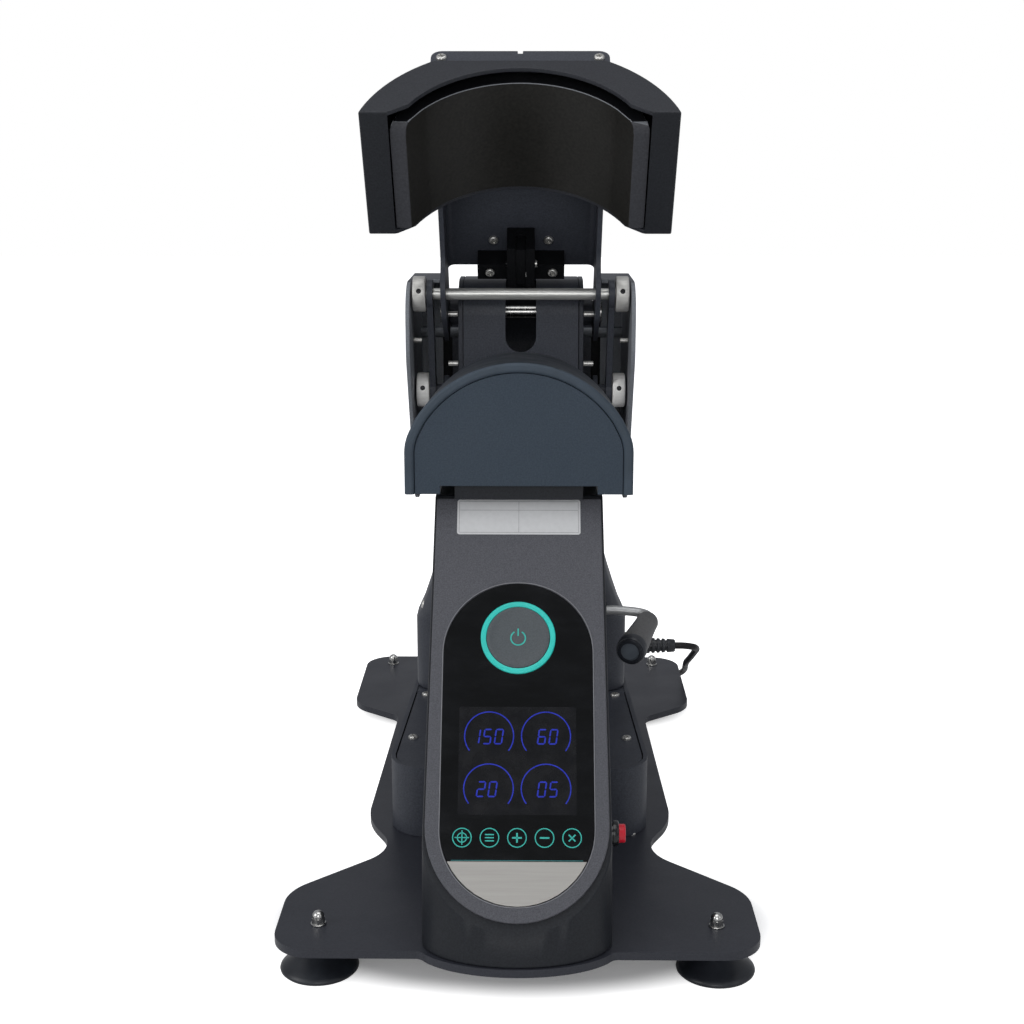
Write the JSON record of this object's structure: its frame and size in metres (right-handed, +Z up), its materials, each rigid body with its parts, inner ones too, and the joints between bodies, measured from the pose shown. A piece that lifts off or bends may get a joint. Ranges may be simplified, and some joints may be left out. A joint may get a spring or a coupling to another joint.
{
  "type": "cap heat press",
  "caption": "Countertop press for caps: a leaning control console with a curved padded bed, and a hinged curved heating head that a hidden motor closes over it.",
  "frame": {"origin": "on the floor, under the middle of the base plate's length and width", "axes": "+Z up, -Y towards the user, so the console faces -Y, and +X to the user's right"},
  "size_m": [0.2961, 0.8453, 0.549],
  "materials": {
    "charcoal_paint": "fine textured powder coat",
    "black_paint": "satin powder coat",
    "fascia_plastic": "textured matt",
    "bed_paint": "matt paint",
    "heater_coating": "dark non-stick coating, semi gloss",
    "panel_glass": "high gloss",
    "brushed_trim": "brushed",
    "teal_plastic": "gloss, lit from behind",
    "grey_plastic": "satin",
    "red_plastic": "gloss",
    "polished_steel": "polished",
    "cast_metal": "as cast",
    "silicone": "matt",
    "black_rubber": "matt",
    "circuit_board": "solder mask"
  },
  "bodies": {
    "frame": {"base_plate": "charcoal_paint", "foot_front_left": "black_rubber", "foot_front_right": "black_rubber", "foot_rear_left": "black_rubber", "foot_rear_right": "black_rubber", "foot_nut_front_left": "polished_steel", "foot_nut_front_right": "polished_steel", "foot_nut_rear_left": "polished_steel", "foot_nut_rear_right": "polished_steel", "console_shell": "black_paint", "console_fascia": "fascia_plastic", "panel_glass": "panel_glass", "silver_trim": "brushed_trim", "start_ring": "teal_plastic", "display_module": "grey_plastic", "control_board": "circuit_board", "side_button_bezel": "black_rubber", "mid_housing": "black_paint", "mid_cover": "charcoal_paint", "power_supply": "cast_metal", "tower_shell": "charcoal_paint", "left_cheek": "charcoal_paint", "right_cheek": "charcoal_paint", "cowl": "charcoal_paint", "pivot_shaft": "polished_steel", "left_guard": "charcoal_paint", "right_guard": "charcoal_paint", "rear_cover": "charcoal_paint", "drive_gearbox": "cast_metal", "drive_motor": "cast_metal", "bed_mount": "black_paint", "bed_core": "cast_metal", "bed_face": "bed_paint", "bed_pad": "silicone", "lever_bracket": "black_paint", "strain_relief": "black_rubber", "power_cord": "black_rubber", "cord_coil": "black_rubber", "plug": "black_rubber"},
    "head": {"head_housing": "black_paint", "heater_plate": "heater_coating", "head_block": "cast_metal", "head_cover": "charcoal_paint", "arm_channel": "charcoal_paint", "stop_bracket": "black_paint", "cross_rod": "polished_steel", "upper_left_collar": "polished_steel", "upper_right_collar": "polished_steel"},
    "crank": {"crank_shaft": "polished_steel", "left_crank_arm": "charcoal_paint", "right_crank_arm": "charcoal_paint", "lower_left_collar": "polished_steel", "lower_right_collar": "polished_steel"},
    "links": {"left_link": "charcoal_paint", "right_link": "charcoal_paint"},
    "lever": {"lever_rod": "polished_steel", "lever_grip": "grey_plastic", "lever_grip_cap": "black_rubber"},
    "start_button": {"start_button": "grey_plastic"},
    "side_button": {"side_button_cap": "red_plastic"}
  },
  "joints": [
    {"name": "head_hinge", "type": "hinge", "parent": "frame", "child": "head", "pos_m": [0, 0.042, 0.3725], "axis": [1, 0, 0], "range_deg": [0, 55]},
    {"name": "crank_hinge", "type": "hinge", "parent": "frame", "child": "crank", "pos_m": [0, 0.071, 0.301], "axis": [1, 0, 0], "range_deg": [0, 55]},
    {"name": "link_hinge", "type": "hinge", "parent": "crank", "child": "links", "pos_m": [0, 0.02603, 0.31798], "axis": [1, 0, 0], "range_deg": [-55, 0]},
    {"name": "lever_hinge", "type": "hinge", "parent": "frame", "child": "lever", "pos_m": [0.05, 0.034, 0.15], "axis": [-1, 0, 0], "range_deg": [0, 60]},
    {"name": "start_button_press", "type": "slide", "parent": "frame", "child": "start_button", "axis": [0, 0.829, -0.5592], "range_m": [0, 0.0015], "stiffness_N_per_m": 800, "springref_m": -0.001},
    {"name": "side_button_press", "type": "slide", "parent": "frame", "child": "side_button", "axis": [-1, 0, 0], "range_m": [0, 0.0025], "stiffness_N_per_m": 600, "springref_m": -0.001}
  ],
  "couplings": [
    {"joint": "crank_hinge", "follows": "head_hinge", "ratio": 1},
    {"joint": "link_hinge", "follows": "head_hinge", "ratio": -1}
  ]
}
